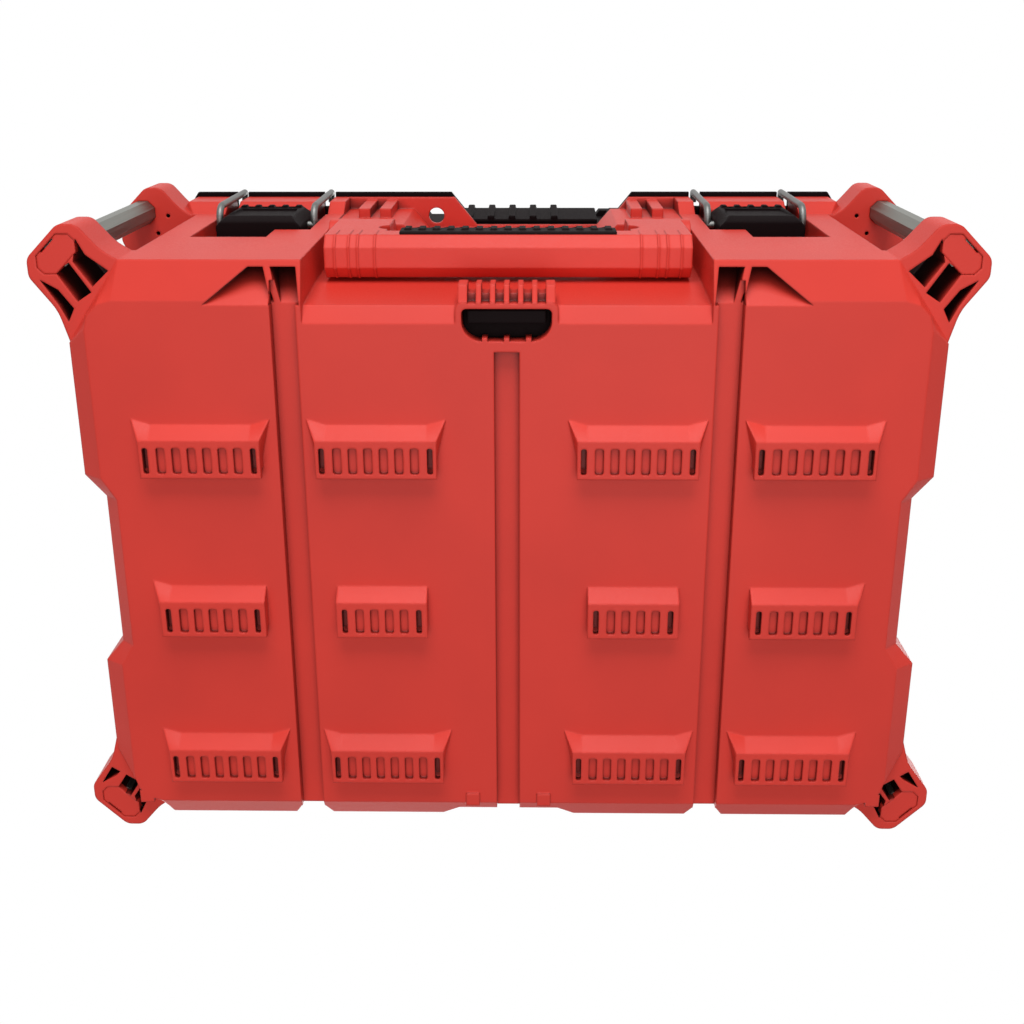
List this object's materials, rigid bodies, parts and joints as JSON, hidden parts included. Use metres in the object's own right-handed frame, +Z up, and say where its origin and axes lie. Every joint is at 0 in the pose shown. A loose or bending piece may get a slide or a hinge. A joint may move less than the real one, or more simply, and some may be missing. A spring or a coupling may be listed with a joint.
{
  "type": "modular toolbox",
  "caption": "Stackable moulded tool case with a hinged lid, wire-bail draw latches, folding carry handle, metal corner bars, hooked stacking cleats below and sockets above.",
  "frame": {"origin": "middle of the footprint, on the surface that the stacking cleats rest on", "axes": "+Z up, -Y towards the front with the handle and latches, +X to the right seen in the picture"},
  "size_m": [0.561, 0.408, 0.287],
  "materials": {
    "moulded_red": "fine grain",
    "moulded_black": "fine grain",
    "soft_rubber": "soft matte",
    "bar_aluminium": "satin extruded",
    "steel": "zinc plated",
    "dark_steel": "black oxide"
  },
  "bodies": {
    "tub": {"base_tub": "moulded_red", "bar_plug_front_right": "moulded_red", "bar_plug_front_left": "moulded_red", "bar_plug_rear_right": "moulded_red", "bar_plug_rear_left": "moulded_red", "release_retainer": "moulded_black", "corner_bar_front_right": "bar_aluminium", "corner_bar_front_left": "bar_aluminium", "corner_bar_rear_right": "bar_aluminium", "corner_bar_rear_left": "bar_aluminium", "hinge_pin_right": "steel", "hinge_pin_left": "steel", "release_springs": "steel", "release_screws": "steel", "handle_pin_right": "dark_steel", "handle_pin_left": "dark_steel", "latch_pin_right": "dark_steel", "latch_pin_left": "dark_steel"},
    "lid": {"lid_shell": "moulded_black", "lid_deck": "moulded_black", "lid_seal": "soft_rubber", "lid_grip": "moulded_black", "lid_screws": "steel"},
    "handle": {"carry_handle": "moulded_red", "handle_grip": "soft_rubber"},
    "paddle": {"release_paddle": "moulded_black"},
    "lever_right": {"latch_lever_right": "moulded_black"},
    "bail_right": {"latch_bail_right": "steel"},
    "lever_left": {"latch_lever_left": "moulded_black"},
    "bail_left": {"latch_bail_left": "steel"}
  },
  "joints": [
    {"name": "lid_hinge", "type": "hinge", "parent": "tub", "child": "lid", "pos_m": [0, 0.1965, 0.2365], "axis": [-1, 0, 0], "range_deg": [0, 105]},
    {"name": "handle_swing", "type": "hinge", "parent": "tub", "child": "handle", "pos_m": [0, -0.179, 0.13], "axis": [-1, 0, 0], "range_deg": [0, 95]},
    {"name": "release_slide", "type": "slide", "parent": "tub", "child": "paddle", "axis": [0, 1, 0], "range_m": [0, 0.006], "stiffness_N_per_m": 300, "springref_m": -0.003, "deforming": ["release_springs"]},
    {"name": "latch_right", "type": "hinge", "parent": "tub", "child": "lever_right", "pos_m": [0.1682, -0.18, 0.179], "axis": [-1, 0, 0], "range_deg": [0, 75]},
    {"name": "bail_right", "type": "hinge", "parent": "lever_right", "child": "bail_right", "pos_m": [0.1682, -0.1825, 0.159], "axis": [-1, 0, 0], "range_deg": [-90, 0]},
    {"name": "latch_left", "type": "hinge", "parent": "tub", "child": "lever_left", "pos_m": [-0.1682, -0.18, 0.179], "axis": [-1, 0, 0], "range_deg": [0, 75]},
    {"name": "bail_left", "type": "hinge", "parent": "lever_left", "child": "bail_left", "pos_m": [-0.1682, -0.1825, 0.159], "axis": [-1, 0, 0], "range_deg": [-90, 0]}
  ],
  "couplings": [
    {"joint": "bail_right", "follows": "latch_right", "ratio": -1.2},
    {"joint": "bail_left", "follows": "latch_left", "ratio": -1.2}
  ]
}
